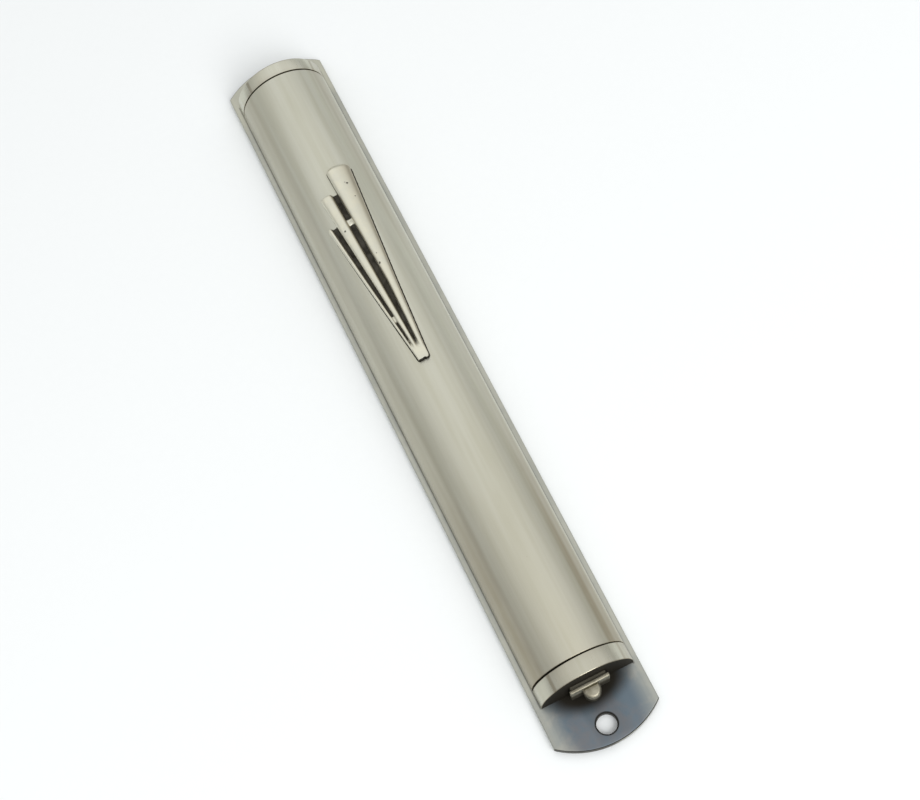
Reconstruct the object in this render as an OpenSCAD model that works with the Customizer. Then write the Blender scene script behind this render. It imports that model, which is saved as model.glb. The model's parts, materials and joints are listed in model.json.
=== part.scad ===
// Mezuzah case: a half-round metal shell on a flat back plate, closed by a fixed
// top cap and by a pull-out bottom cap, with a relief ornament on its front and a
// rolled parchment inside. The plate lies on its back: +Z points out of its front,
// +Y runs along it towards the top end, and the origin is under its middle.

/* [Back plate] */
// Width of the back plate
plate_w = 22; // [19:0.5:30]
// Length of the plate's straight sides
plate_side = 161; // [130:1:210]
// How far each round end stands out past the straight sides
end_rise = 3.9; // [3:0.1:7]
// Thickness of the back plate
plate_t = 1.8; // [1.2:0.1:3]
// Radius of the screw holes
hole_r = 2; // [1.2:0.1:2.5]
// Distance from each tip of the plate to the centre of its screw hole
hole_inset = 3.9; // [3.5:0.1:6]

/* [Shell] */
// Bare plate left on each side of the shell
side_margin = 1.2; // [0.5:0.1:2.5]
// Height of the straight foot below the shell's round part
foot_h = 0.5; // [0.2:0.1:2]
// Wall of the shell
shell_wall = 1; // [0.6:0.1:1.4]
// Width of the flanges that turn inwards under the shell
flange_w = 2.6; // [2.4:0.1:3.2]
// Thickness of the flanges
flange_t = 1; // [0.6:0.1:1.2]

/* [Caps] */
// Bare plate from its lower tip to the bottom cap
bottom_land = 11.8; // [11:0.1:20]
// Bare plate from its upper tip to the top cap
top_land = 6.8; // [6:0.1:20]
// Thickness of the bottom cap's rim
bottom_cap_t = 3.6; // [2.5:0.1:6]
// Thickness of the top cap's rim
top_cap_t = 3.2; // [2.5:0.1:6]
// Shadow gap between each cap and the shell
cap_gap = 0.3; // [0.2:0.05:0.6]
// Length of the spigots that reach into the shell
spigot_l = 8; // [5:0.5:12]
// Wall of the spigots
spigot_wall = 1; // [0.8:0.1:1.4]
// Clearance of everything that slides
slide_clearance = 0.3; // [0.25:0.05:0.5]
// Clearance of the pieces that are pressed or soldered together
fixed_clearance = 0.05; // [0.02:0.01:0.1]

/* [Pull] */
// Width of the pull's cross bar
bar_w = 8.2; // [6:0.1:10]
// Height of the cross bar
bar_h = 5; // [4:0.1:5.6]
// Length of the cross bar along the case
bar_l = 0.8; // [0.6:0.1:2]
// How much lower and narrower the neck behind the bar is, on each side
neck_step = 0.4; // [0.2:0.1:0.8]
// Length of the neck
neck_l = 0.6; // [0.4:0.1:1.5]
// Radius of the pull's round tip
tip_r = 1.7; // [1.2:0.1:2.2]
// Height of the tip
tip_h = 3.6; // [2.5:0.1:4]
// Straight length between the bar and the tip's round end
tip_l = 0.6; // [0.2:0.1:1.5]
// Radius of the tang that passes through the cap
tang_r = 1.2; // [0.8:0.1:1.3]
// Radius of the tang's peened head
peen_r = 1.6; // [1.5:0.1:1.7]
// Thickness of the peened head
peen_t = 0.6; // [0.4:0.1:1]
// Gap between the pull and the plate below it
pull_gap = 1.1; // [0.8:0.1:1.4]

/* [Ornament] */
// Distance from the shell's top end to the tip of the tallest prong
emblem_drop = 26.8; // [10:0.1:60]
// Length of the ornament
emblem_l = 49; // [35:0.5:60]
// Width of each prong where it meets the foot
prong_end_w = 0.75; // [0.5:0.05:1]
// Height of each prong where it meets the foot, and of the foot
prong_end_h = 0.85; // [0.6:0.05:1.2]
// Width of the squared foot
foot_w = 2.2; // [1.6:0.1:3]
// Length of the squared foot
foot_l = 3; // [2:0.1:5]
// Radius of the small bridges between the prongs
bridge_r = 0.45; // [0.3:0.05:0.6]
// Radius of the two pegs that hold the ornament
peg_r = 0.7; // [0.5:0.05:0.9]

/* [Parchment] */
// Length of the rolled parchment
scroll_l = 100; // [70:1:110]
// Radius of the rolled parchment in its wrapper
scroll_r = 4.1; // [3:0.1:4.3]
// Radius of the opening along the middle of the roll
scroll_bore_r = 1.2; // [0.8:0.1:1.6]
// Thickness of the wrapper
wrap_t = 0.15; // [0.1:0.05:0.3]
// Parchment left bare at each end of the wrapper
wrap_bare = 5; // [2:0.5:15]
// Gap between the bottom cap's spigot and the roll
scroll_gap = 2; // [1:0.5:6]

/* [Rivets] */
// Radius of the rivets that hold the shell to the plate
rivet_r = 0.7; // [0.5:0.05:0.8]
// Radius of the rivets' heads
rivet_head_r = 1.15; // [1:0.05:1.2]
// Thickness of the rivets' inner heads
rivet_head_t = 0.4; // [0.3:0.05:0.6]
// Distance from the shell's ends to the outermost rivets
rivet_inset = 15; // [13:0.5:25]

/* [Hidden] */
$fn = 96;
e = 0.01;

// Outline and ends
tip_y = plate_side / 2 + end_rise;
end_r = (pow(plate_w / 2, 2) + pow(end_rise, 2)) / (2 * end_rise);
bottom_cap_y = -tip_y + bottom_land;
top_cap_y = tip_y - top_land;
shell_y0 = bottom_cap_y + bottom_cap_t + cap_gap;
shell_y1 = top_cap_y - top_cap_t - cap_gap;
shell_l = shell_y1 - shell_y0;
shell_r = plate_w / 2 - side_margin;
chamber_r = shell_r - shell_wall;
axis_z = plate_t + foot_h;

// Spigots, pull and roll
spigot_low_z = plate_t + flange_t;
sleeve_r = chamber_r - slide_clearance;
tang_z = plate_t + flange_t + slide_clearance + spigot_wall + peen_r + e;
bar_z = plate_t + pull_gap + bar_h / 2;
scroll_z = plate_t + slide_clearance + scroll_r;
scroll_y = shell_y0 + spigot_l + scroll_gap;

// Ornament: where each prong starts, as [across, below the tallest, width, height]
prongs = [[2.05, 0, 5, 1.5], [-2.65, 6, 2.7, 1.3], [-4.9, 12.8, 1, 0.95]];
// Across place of the prongs' ends in the foot
prong_ends = [0.75, -0.2, -0.85];
foot_x = 0.1;
emblem_top_y = shell_y1 - emblem_drop;
foot_y = emblem_top_y - emblem_l;
// Small bridges that tie the prongs together, as shares of the ornament's length
bridges = [0.28, 0.78];
// Places of the pegs along the ornament, as shares of its length
peg_places = [0.45, 0.85];
peg_rise = 0.3;

// Rivets
rivet_x = chamber_r - flange_w / 2 - 0.05;
rivet_rows = [shell_y0 + rivet_inset, (shell_y0 + shell_y1) / 2, shell_y1 - rivet_inset];

// Height of the shell's surface above the plate's back, at x from the middle
function crown_z(x, r = shell_r) = axis_z + sqrt(r * r - x * x);

// Solid of length l along +Y from y: a half-round of radius r on a straight foot down to low_z
module half_round(y, l, r, low_z) {
    translate([0, y, 0]) intersection() {
        union() {
            translate([0, l, axis_z]) rotate([90, 0, 0]) cylinder(h = l, r = r);
            translate([-r, 0, low_z]) cube([2 * r, l, axis_z - low_z]);
        }
        translate([-r - 1, -1, low_z]) cube([2 * r + 2, l + 2, r + axis_z]);
    }
}

// Round bar along Y from y, centred at height z
module bar_y(y, l, r, z, x = 0) {
    translate([x, y + l, z]) rotate([90, 0, 0]) cylinder(h = l, r = r);
}

// Cone from point a to point b
module cone_between(a, b, ra, rb) {
    v = b - a;
    translate(a) rotate([0, acos(v.z / norm(v)), atan2(v.y, v.x)]) cylinder(h = norm(v), r1 = ra, r2 = rb);
}

module plate_end(side) {
    intersection() {
        translate([0, side * (tip_y - end_r), 0]) cylinder(h = plate_t, r = end_r);
        translate([-plate_w / 2, side > 0 ? plate_side / 2 : -tip_y, 0]) cube([plate_w, end_rise, plate_t]);
    }
}

module back_plate() {
    color([0.55, 0.56, 0.56]) difference() {
        union() {
            translate([-plate_w / 2, -plate_side / 2, 0]) cube([plate_w, plate_side, plate_t]);
            for (side = [-1, 1]) plate_end(side);
        }
        for (side = [-1, 1])
            translate([0, side * (tip_y - hole_inset), -1]) cylinder(h = plate_t + 2, r = hole_r);
        for (y = rivet_rows, side = [-1, 1]) translate([side * rivet_x, y, 0]) {
            translate([0, 0, -1]) cylinder(h = plate_t + 2, r = rivet_r + fixed_clearance);
            translate([0, 0, -e]) cylinder(
                h = rivet_head_r - rivet_r, r1 = rivet_head_r + fixed_clearance, r2 = rivet_r + fixed_clearance);
        }
    }
}

module body_shell() {
    color([0.72, 0.71, 0.65]) difference() {
        half_round(shell_y0, shell_l, shell_r, plate_t);
        difference() {
            half_round(shell_y0 - 1, shell_l + 2, chamber_r, plate_t - 1);
            for (side = [-1, 1])
                translate([side > 0 ? chamber_r - flange_w : -chamber_r - 1, shell_y0 - 2, plate_t - 2])
                    cube([flange_w + 1, shell_l + 4, flange_t + 2]);
        }
        for (y = rivet_rows, side = [-1, 1])
            translate([side * rivet_x, y, plate_t - 1]) cylinder(h = flange_t + 2, r = rivet_r + fixed_clearance);
        for (share = peg_places) peg(share, peg_r + fixed_clearance, 1);
    }
}

// Rivets with a flush head in the plate's back and a flat head on the flange
module shell_rivets() {
    color([0.6, 0.58, 0.5]) for (y = rivet_rows, side = [-1, 1]) translate([side * rivet_x, y, 0]) {
        cylinder(h = plate_t + flange_t + e, r = rivet_r);
        cylinder(h = rivet_head_r - rivet_r, r1 = rivet_head_r, r2 = rivet_r);
        translate([0, 0, plate_t + flange_t]) cylinder(h = rivet_head_t, r = rivet_head_r);
    }
}

// Cup that reaches from a cap's inner face into the shell
module spigot(y, l, r, low_z, open_up) {
    difference() {
        half_round(y, l, r, low_z);
        half_round(open_up ? y : y - 1, l + 1, r - spigot_wall, low_z + spigot_wall);
    }
}

module top_cap() {
    reach = spigot_l + cap_gap;
    color([0.74, 0.71, 0.64]) union() {
        half_round(top_cap_y - top_cap_t, top_cap_t, shell_r, plate_t);
        spigot(top_cap_y - top_cap_t - reach, reach, chamber_r - fixed_clearance, spigot_low_z, false);
    }
}

module bottom_cap() {
    inner_y = bottom_cap_y + bottom_cap_t;
    color([0.74, 0.71, 0.64]) difference() {
        union() {
            half_round(bottom_cap_y, bottom_cap_t, shell_r, plate_t + slide_clearance);
            spigot(inner_y, spigot_l + cap_gap, sleeve_r, spigot_low_z + slide_clearance, true);
        }
        bar_y(bottom_cap_y - 1, bottom_cap_t + 2, tang_r + fixed_clearance, tang_z);
    }
}

// Block centred across the case, from y towards the lower end
module pull_block(y, l, w, h) {
    translate([-w / 2, y - l, bar_z - h / 2]) cube([w, l, h]);
}

module pull_finial() {
    bar_y0 = bottom_cap_y - neck_l;
    tip_y0 = bar_y0 - bar_l;
    color([0.76, 0.74, 0.68]) union() {
        pull_block(bottom_cap_y, neck_l, bar_w - 2 * neck_step, bar_h - 2 * neck_step);
        pull_block(bar_y0, bar_l, bar_w, bar_h);
        pull_block(tip_y0, tip_l, 2 * tip_r, tip_h);
        translate([0, tip_y0 - tip_l, bar_z - tip_h / 2]) cylinder(h = tip_h, r = tip_r);
        bar_y(bar_y0, neck_l + bottom_cap_t + peen_t, tang_r, tang_z);
        bar_y(bottom_cap_y + bottom_cap_t, peen_t, peen_r, tang_z);
    }
}

// One of the pegs under the ornament, at a share of its length
module peg(share, r, extra = 0) {
    x = prongs[0][0] * (1 - share) + prong_ends[0] * share;
    top_z = crown_z(x) + (extra > 0 ? extra : peg_rise);
    low_z = crown_z(x, chamber_r) - 0.1 - extra;
    translate([x, emblem_top_y - share * emblem_l, low_z]) cylinder(h = top_z - low_z, r = r);
}

// Radius of the arc that stands h over a chord of width w
function arc_r(w, h) = (pow(w / 2, 2) + pow(h, 2)) / (2 * h);

// Point on the centre line of prong i, at a share of the way to the foot
function prong_point(i, share) =
    let (
        x0 = prongs[i][0],
        x1 = prong_ends[i],
        w = prongs[i][2],
        h = prongs[i][3],
        y0 = emblem_top_y - prongs[i][1] - (i == 0 ? w / 2 : 0),
        p0 = [x0, y0, crown_z(x0) + h - arc_r(w, h)],
        p1 = [x1, foot_y + 0.4, crown_z(x1) + prong_end_h - arc_r(prong_end_w, prong_end_h)])
    p0 * (1 - share) + p1 * share;

module prong(i) {
    r = arc_r(prongs[i][2], prongs[i][3]);
    cone_between(prong_point(i, 0), prong_point(i, 1), r, arc_r(prong_end_w, prong_end_h));
    if (i == 0) translate(prong_point(i, 0)) sphere(r = r);
}

// Bridge from the tallest prong to the outermost one, at a share of the ornament's length
module bridge(share) {
    y = emblem_top_y - share * emblem_l;
    span = [for (i = [0, 2])
        let (top = prong_point(i, 0), low = prong_point(i, 1), s = (top.y - y) / (top.y - low.y))
        prong_point(i, s)];
    cone_between(span[0], span[1], bridge_r, bridge_r);
}

module emblem() {
    color([0.8, 0.79, 0.73]) union() {
        difference() {
            union() {
                for (i = [0:2]) prong(i);
                for (share = bridges) bridge(share);
                translate([foot_x - foot_w / 2, foot_y, axis_z])
                    cube([foot_w, foot_l, shell_r + prong_end_h]);
            }
            bar_y(foot_y - 5, emblem_l + 10, shell_r + fixed_clearance / 2, axis_z);
        }
        for (share = peg_places) peg(share, peg_r);
    }
}

module scroll() {
    color([0.93, 0.87, 0.72]) difference() {
        bar_y(scroll_y, scroll_l, scroll_r - wrap_t, scroll_z);
        bar_y(scroll_y - 1, scroll_l + 2, scroll_bore_r, scroll_z);
    }
}

module scroll_wrap() {
    color([0.95, 0.95, 0.93]) difference() {
        bar_y(scroll_y + wrap_bare, scroll_l - 2 * wrap_bare, scroll_r, scroll_z);
        bar_y(scroll_y, scroll_l, scroll_r - wrap_t, scroll_z);
    }
}

back_plate();
body_shell();
shell_rivets();
top_cap();
emblem();
bottom_cap();
pull_finial();
scroll();
scroll_wrap();
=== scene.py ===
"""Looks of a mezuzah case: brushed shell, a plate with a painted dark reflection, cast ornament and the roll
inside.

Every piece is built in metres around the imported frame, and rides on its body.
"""

import json
from math import atan2, cos, pi, radians, sin, sqrt

import bmesh
import bpy
from mathutils import Matrix, Vector


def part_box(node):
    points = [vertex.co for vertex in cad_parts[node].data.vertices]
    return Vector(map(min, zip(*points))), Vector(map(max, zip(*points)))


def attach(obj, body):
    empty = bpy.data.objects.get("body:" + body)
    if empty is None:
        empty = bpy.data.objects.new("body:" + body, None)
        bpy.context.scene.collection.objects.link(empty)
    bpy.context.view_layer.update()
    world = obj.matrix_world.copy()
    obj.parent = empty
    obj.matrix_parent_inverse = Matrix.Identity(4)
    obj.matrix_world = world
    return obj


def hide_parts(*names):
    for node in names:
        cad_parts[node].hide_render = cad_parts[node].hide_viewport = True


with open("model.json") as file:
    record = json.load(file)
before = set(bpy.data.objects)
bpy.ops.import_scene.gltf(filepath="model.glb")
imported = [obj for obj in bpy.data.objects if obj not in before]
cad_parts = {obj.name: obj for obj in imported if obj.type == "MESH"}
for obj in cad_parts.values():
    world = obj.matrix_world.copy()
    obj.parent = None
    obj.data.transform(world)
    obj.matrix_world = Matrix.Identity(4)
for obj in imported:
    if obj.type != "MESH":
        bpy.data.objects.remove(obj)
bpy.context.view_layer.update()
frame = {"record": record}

bl_info = {
    "name": "Mezuzah Case",
    "version": (1, 0, 0),
    "blender": (4, 5, 0),
    "location": "3D View > Sidebar > Mezuzah Case",
    "description": "Builds the pieces and finishes of a half-round mezuzah case",
    "category": "Object",
}

MM = 0.001
TINY = 1e-7

# ---------------------------------------------------------------- sizes from the frame

_, PLATE_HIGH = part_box("back_plate")
SHELL_LOW, SHELL_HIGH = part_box("body_shell")
TOP_LOW, TOP_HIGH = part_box("top_cap")
CAP_LOW, CAP_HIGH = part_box("bottom_cap")
PULL_LOW, PULL_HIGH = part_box("pull_finial")
EMBLEM_LOW, EMBLEM_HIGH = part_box("emblem")
ROLL_LOW, ROLL_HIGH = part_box("scroll")
WRAP_LOW, WRAP_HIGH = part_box("scroll_wrap")
RIVETS_LOW, RIVETS_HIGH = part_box("shell_rivets")

PLATE_TOP = PLATE_HIGH.z
SHELL_R = SHELL_HIGH.x
AXIS_Z = SHELL_HIGH.z - SHELL_R
ROLL_Z = (ROLL_LOW.z + ROLL_HIGH.z) / 2
SCREWS = next(m for m in frame["record"]["mounts"] if m["name"] == "screw_holes")
HOLE_R = SCREWS["dims"]["hole_r_mm"] * MM
HOLE_Y = SCREWS["dims"]["spacing_y_mm"] * MM / 2


def length(label, default_mm, about):
    """A length property, given in millimetres and held in metres."""
    return bpy.props.FloatProperty(
        name=label, description=about, default=default_mm * MM, unit="LENGTH", precision=5
    )


def colour(label, default, about):
    """A colour property."""
    return bpy.props.FloatVectorProperty(
        name=label, description=about, default=default, size=3, subtype="COLOR", min=0, max=1
    )


class CaseSizes(bpy.types.PropertyGroup):
    """Sizes of the case's details that the frame doesn't carry."""

    end_rise: length("End Rise", 3.9, "How far each end of the plate bulges past its straight sides")
    wall: length("Shell Wall", 1.0, "Thickness of the shell and of the caps' spigots")
    flange_w: length("Flange Width", 2.6, "Width of the shell's inward flanges")
    flange_t: length("Flange Thickness", 1.0, "Thickness of the shell's flanges")
    cap_gap: length("Cap Gap", 0.3, "Shadow gap between each cap and the shell")
    slide_gap: length("Sliding Clearance", 0.3, "Clearance around the bottom cap")
    fixed_gap: length("Fixed Clearance", 0.05, "Clearance of the top cap's spigot")
    plate_edge: length("Plate Edge", 0.25, "Rounding of the plate's edges")
    cap_edge: length("Cap Edge", 0.42, "Rounding of the caps' outer edges")
    shell_edge: length("Shell Edge", 0.1, "Rounding of the shell's end edges")
    pull_edge: length("Pull Edge", 0.2, "Rounding of the pull's edges")
    bar_l: length("Bar Length", 0.8, "Length of the pull's cross bar along the case")
    neck_l: length("Neck Length", 0.6, "Length of the pull's neck")
    neck_step: length("Neck Step", 0.4, "How much the neck is set in from the bar")
    tip_r: length("Tip Radius", 1.7, "Radius of the pull's round tip")
    tip_h: length("Tip Height", 3.6, "Height of the pull's tip")
    tang_r: length("Tang Radius", 1.2, "Radius of the pull's tang")
    peen_r: length("Peen Radius", 1.6, "Radius of the tang's peened head")
    peen_t: length("Peen Thickness", 0.6, "Thickness of the tang's peened head")
    rivet_r: length("Rivet Radius", 0.7, "Radius of the rivets")
    rivet_head_r: length("Rivet Head Radius", 1.15, "Radius of the rivets' heads")
    roll_bore_r: length("Roll Bore", 1.2, "Radius of the opening along the middle of the roll")
    sheet_t: length("Parchment Thickness", 0.14, "Thickness of the parchment")
    roll_turns: bpy.props.FloatProperty(
        name="Turns", description="Turns of parchment in the roll", default=7.25, min=2, max=20
    )
    cap_skew: bpy.props.FloatProperty(
        name="Cap Skew",
        description="How far the loose bottom cap sits askew in the shell",
        default=radians(0.8),
        subtype="ANGLE",
    )


class CaseColours(bpy.types.PropertyGroup):
    """Colours of the case's finishes."""

    nickel: colour("Nickel", (0.545, 0.54, 0.445), "Brushed antique nickel of the shell")
    nickel_worn: colour("Worn Nickel", (0.62, 0.62, 0.54), "Nickel where handling has brightened it")
    # Brown of the flanks' bands, also the colour of painted shade and painted dark reflections
    toning_and_shade: colour("Toning And Shade", (0.235, 0.19, 0.12), "Brown toning left along the flanks")
    cast: colour("Cast Metal", (0.70, 0.68, 0.56), "Polished high points of the cast pieces")
    pull: colour("Pull", (0.27, 0.25, 0.19), "Dull cast metal of the pull")
    # Black of the casting's recesses, also used as painted shade and painted shadow
    recess_black_and_shade: colour("Recess Black And Shade", (0.018, 0.016, 0.012), "Blackening left in recesses")
    # The second and third colours paint a dark reflection of the camera side on the plate's middle; the
    # first is the plate's own nickel
    plate: colour("Plate", (0.43, 0.43, 0.375), "Plate where it is rubbed bright")
    plate_dark_reflection: colour("Plate Dark Reflection", (0.122, 0.156, 0.185), "Blue-black patina of the plate")
    plate_tint: colour("Plate Tint", (0.150, 0.158, 0.170), "Warmer clouds in the plate's patina")
    steel: colour("Rivet Steel", (0.42, 0.42, 0.40), "Filed ends of the rivets")
    parchment: colour("Parchment", (0.80, 0.69, 0.48), "Parchment skin")
    parchment_dark: colour("Parchment Shade", (0.62, 0.48, 0.29), "Darker mottling of the parchment")
    wrapper: colour("Wrapper", (0.83, 0.83, 0.80), "Waxed wrapper")
    floor: colour("Floor", (0.82, 0.845, 0.855), "Pale floor")


# ---------------------------------------------------------------- mesh helpers


def sizes():
    return bpy.context.scene.case_sizes


def colours():
    return bpy.context.scene.case_colours


def verts_of(geometry):
    return [g for g in geometry if isinstance(g, bmesh.types.BMVert)]


def arc_verts(bm, start, centre, axis, angle, steps):
    """Spins one new vertex into an arc and returns the arc's vertices in order."""
    first = bm.verts.new(start)
    spun = bmesh.ops.spin(
        bm, geom=[first], cent=centre, axis=axis, angle=angle, steps=steps, use_duplicate=False
    )
    last = verts_of(spun["geom_last"])[0]
    chain = [first]
    while chain[-1] is not last:
        edge = next(e for e in chain[-1].link_edges if e.other_vert(chain[-1]) not in chain)
        chain.append(edge.other_vert(chain[-1]))
    return chain


def extrude_up(bm, face, vec):
    """Pulls a closed solid out of one flat face, which becomes its floor."""
    pulled = bmesh.ops.extrude_face_region(bm, geom=[face], use_keep_orig=True)
    bmesh.ops.translate(bm, verts=verts_of(pulled["geom"]), vec=vec)
    return pulled["geom"]


def bevel_edges(bm, edges, width, segments=3):
    bmesh.ops.bevel(
        bm,
        geom=edges,
        offset=width,
        offset_type="OFFSET",
        segments=segments,
        profile=0.5,
        affect="EDGES",
        clamp_overlap=True,
        material=-1,
    )


def to_object(bm, name):
    """Closes a bmesh, turns its faces outwards and makes it an object at the origin."""
    bmesh.ops.remove_doubles(bm, verts=bm.verts, dist=TINY)
    bmesh.ops.recalc_face_normals(bm, faces=bm.faces)
    mesh = bpy.data.meshes.new(name)
    bm.to_mesh(mesh)
    bm.free()
    obj = bpy.data.objects.new(name, mesh)
    bpy.context.scene.collection.objects.link(obj)
    return obj


def bake_modifiers(obj):
    """Replaces an object's mesh by what its modifiers make of it."""
    graph = bpy.context.evaluated_depsgraph_get()
    graph.update()
    done = bpy.data.meshes.new_from_object(obj.evaluated_get(graph))
    old = obj.data
    obj.modifiers.clear()
    obj.data = done
    bpy.data.meshes.remove(old)


def thicken(obj, thickness):
    """Gives a sheet its thickness, half to each side."""
    thick = obj.modifiers.new("Thickness", "SOLIDIFY")
    thick.thickness = thickness
    thick.offset = 0
    bake_modifiers(obj)


def cut_away(obj, cutter):
    """Cuts one object out of another and removes the cutter."""
    cut = obj.modifiers.new("Cut", "BOOLEAN")
    cut.operation = "DIFFERENCE"
    cut.solver = "EXACT"
    cut.object = cutter
    bake_modifiers(obj)
    mesh = cutter.data
    bpy.data.objects.remove(cutter)
    bpy.data.meshes.remove(mesh)


def finish_piece(obj, finish, body, slot, *nodes, crease=radians(32)):
    """Shades a piece, gives it its material and ties it to the frame."""
    if len(obj.data.polygons) == 0:
        raise RuntimeError(f"{obj.name} has no faces")
    obj.data.materials.clear()
    obj.data.materials.append(bpy.data.materials[finish])
    obj.data.polygons.foreach_set("use_smooth", [True] * len(obj.data.polygons))
    obj.data.set_sharp_from_angle(angle=crease)
    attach(obj, body)
    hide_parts(*nodes)


def half_round_face(bm, y, radius, low_z, steps):
    """Half-round outline about the shell's axis, cut off flat at low_z, above or below the axis."""
    rise = max(0.0, low_z - AXIS_Z)
    side = sqrt(radius**2 - rise**2)
    start_angle = atan2(rise, side)
    verts = arc_verts(bm, (side, y, AXIS_Z + rise), (0, y, AXIS_Z), (0, -1, 0), pi - 2 * start_angle, steps)
    if low_z < AXIS_Z:
        verts += [bm.verts.new((x, y, low_z)) for x in (-radius, radius)]
    return bm.faces.new(verts)


def half_round(bm, y0, y1, radius, low_z, steps):
    """Closed half-round solid from y0 to y1."""
    face = half_round_face(bm, y0, radius, low_z, steps)
    extrude_up(bm, face, (0, y1 - y0, 0))


def cup(bm, floor_y, mouth_y, radius, low_z, wall):
    """Half-round cup: a tube with a flat bottom at floor_y, open at mouth_y."""
    steps = 96
    outer = half_round_face(bm, floor_y, radius, low_z, steps)
    inner = half_round_face(bm, floor_y, radius - wall, low_z + wall, steps)
    ring_out, ring_in = list(outer.verts), list(inner.verts)
    bmesh.ops.delete(bm, geom=[outer], context="FACES_ONLY")
    reach = (0, mouth_y - floor_y, 0)
    tubes = []
    for ring in (ring_out, ring_in):
        edges = [bm.edges.get((ring[i], ring[i - 1])) for i in range(len(ring))]
        pulled = bmesh.ops.extrude_edge_only(bm, edges=edges)["geom"]
        bmesh.ops.translate(bm, verts=verts_of(pulled), vec=reach)
        tubes += [g for g in pulled if isinstance(g, bmesh.types.BMEdge)
                  and all(abs(v.co.y - mouth_y) < TINY for v in g.verts)]
    bmesh.ops.bridge_loops(bm, edges=tubes)


def block(bm, low, high):
    """Box between two corners."""
    made = bmesh.ops.create_cube(bm, size=1)["verts"]
    low, high = Vector(low), Vector(high)
    bmesh.ops.scale(bm, verts=made, vec=high - low)
    bmesh.ops.translate(bm, verts=made, vec=(low + high) / 2)
    return made


def rod_y(bm, x, z, radius, y0, y1):
    """Round rod along Y."""
    turn = Matrix.Translation((x, (y0 + y1) / 2, z)) @ Matrix.Rotation(radians(90), 4, "X")
    made = bmesh.ops.create_cone(
        bm, cap_ends=True, segments=32, radius1=radius, radius2=radius, depth=abs(y1 - y0), matrix=turn
    )
    return made["verts"]


def turned(bm, profile, centre, segments):
    """Turns a profile of (radius, height) points about a vertical axis through centre."""
    points = [bm.verts.new((centre[0] + r, centre[1], centre[2] + z)) for r, z in profile]
    edges = [bm.edges.new(pair) for pair in zip(points, points[1:])]
    bmesh.ops.spin(
        bm, geom=points + edges, cent=centre, axis=(0, 0, 1), angle=2 * pi, steps=segments, use_merge=True
    )


# ---------------------------------------------------------------- node helpers


def feed(tree, node, inputs):
    """Links or sets a node's inputs."""
    for key, value in inputs.items():
        if isinstance(value, bpy.types.NodeSocket):
            tree.links.new(value, node.inputs[key])
        else:
            node.inputs[key].default_value = value


def add(tree, kind, inputs=None, **settings):
    """Adds a shader node, sets its fields, and links or sets its inputs."""
    node = tree.nodes.new("ShaderNode" + kind)
    for key, value in settings.items():
        setattr(node, key, value)
    feed(tree, node, inputs or {})
    return node


def maths(tree, operation, a, b=0.0, clamp=False):
    return add(tree, "Math", {0: a, 1: b}, operation=operation, use_clamp=clamp).outputs[0]


def times(tree, a, b, clamp=False):
    return maths(tree, "MULTIPLY", a, b, clamp)


def plus(tree, a, b, clamp=False):
    return maths(tree, "ADD", a, b, clamp)


def minus(tree, a, b):
    return maths(tree, "SUBTRACT", a, b)


def magnitude(tree, value):
    return maths(tree, "ABSOLUTE", value)


def rest(tree, value, clamp=False):
    """What is left of 1."""
    return maths(tree, "SUBTRACT", 1.0, value, clamp)


def most(tree, first, *others):
    """The greatest of several masks."""
    for other in others:
        first = maths(tree, "MAXIMUM", first, other)
    return first


def xyz(tree, vector):
    return add(tree, "SeparateXYZ", {0: vector}).outputs


def noise(tree, at, scale, detail, roughness):
    inputs = {"Vector": at, "Scale": scale, "Detail": detail, "Roughness": roughness}
    return add(tree, "TexNoise", inputs).outputs[0]


def ramp(tree, value, low, high, smooth=True):
    """0 below low, 1 above high, and an even change between them."""
    node = add(tree, "MapRange", {"Value": value, "From Min": low, "From Max": high})
    node.interpolation_type = "SMOOTHSTEP" if smooth else "LINEAR"
    return node.outputs["Result"]


def mix(tree, factor, a, b):
    """Mixes two colours."""
    a, b = (v if isinstance(v, bpy.types.NodeSocket) else (*v, 1) for v in (a, b))
    return add(tree, "Mix", {"Factor": factor, 6: a, 7: b}, data_type="RGBA").outputs[2]


def group(name, inputs, outputs):
    """New shader node group that takes a position and numbers, and its inside input and output nodes."""
    tree = bpy.data.node_groups.new(name, "ShaderNodeTree")
    tree.interface.new_socket("Position", in_out="INPUT", socket_type="NodeSocketVector")
    for label, default in inputs.items():
        socket = tree.interface.new_socket(label, in_out="INPUT", socket_type="NodeSocketFloat")
        socket.default_value = default
    for label in outputs:
        tree.interface.new_socket(label, in_out="OUTPUT", socket_type="NodeSocketFloat")
    return tree, tree.nodes.new("NodeGroupInput"), tree.nodes.new("NodeGroupOutput")


def place(tree, name, at, **inputs):
    """Puts a node group into a material."""
    node = tree.nodes.new("ShaderNodeGroup")
    node.node_tree = bpy.data.node_groups[name]
    feed(tree, node, {"Position": at, **inputs})
    return node.outputs


def object_mm(tree):
    """Object coordinates in millimetres."""
    coords = add(tree, "TexCoord").outputs["Object"]
    return add(tree, "VectorMath", {0: coords, 3: 1000.0}, operation="SCALE").outputs[0]


def hypotenuse(tree, x, y):
    both = add(tree, "CombineXYZ", {0: x, 1: y}).outputs[0]
    return add(tree, "VectorMath", {0: both}, operation="LENGTH").outputs["Value"]


def stretched(tree, at, scales):
    """A position scaled on each axis."""
    scale = add(tree, "CombineXYZ", dict(enumerate(scales))).outputs[0]
    return add(tree, "VectorMath", {0: at, 1: scale}, operation="MULTIPLY").outputs[0]


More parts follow.
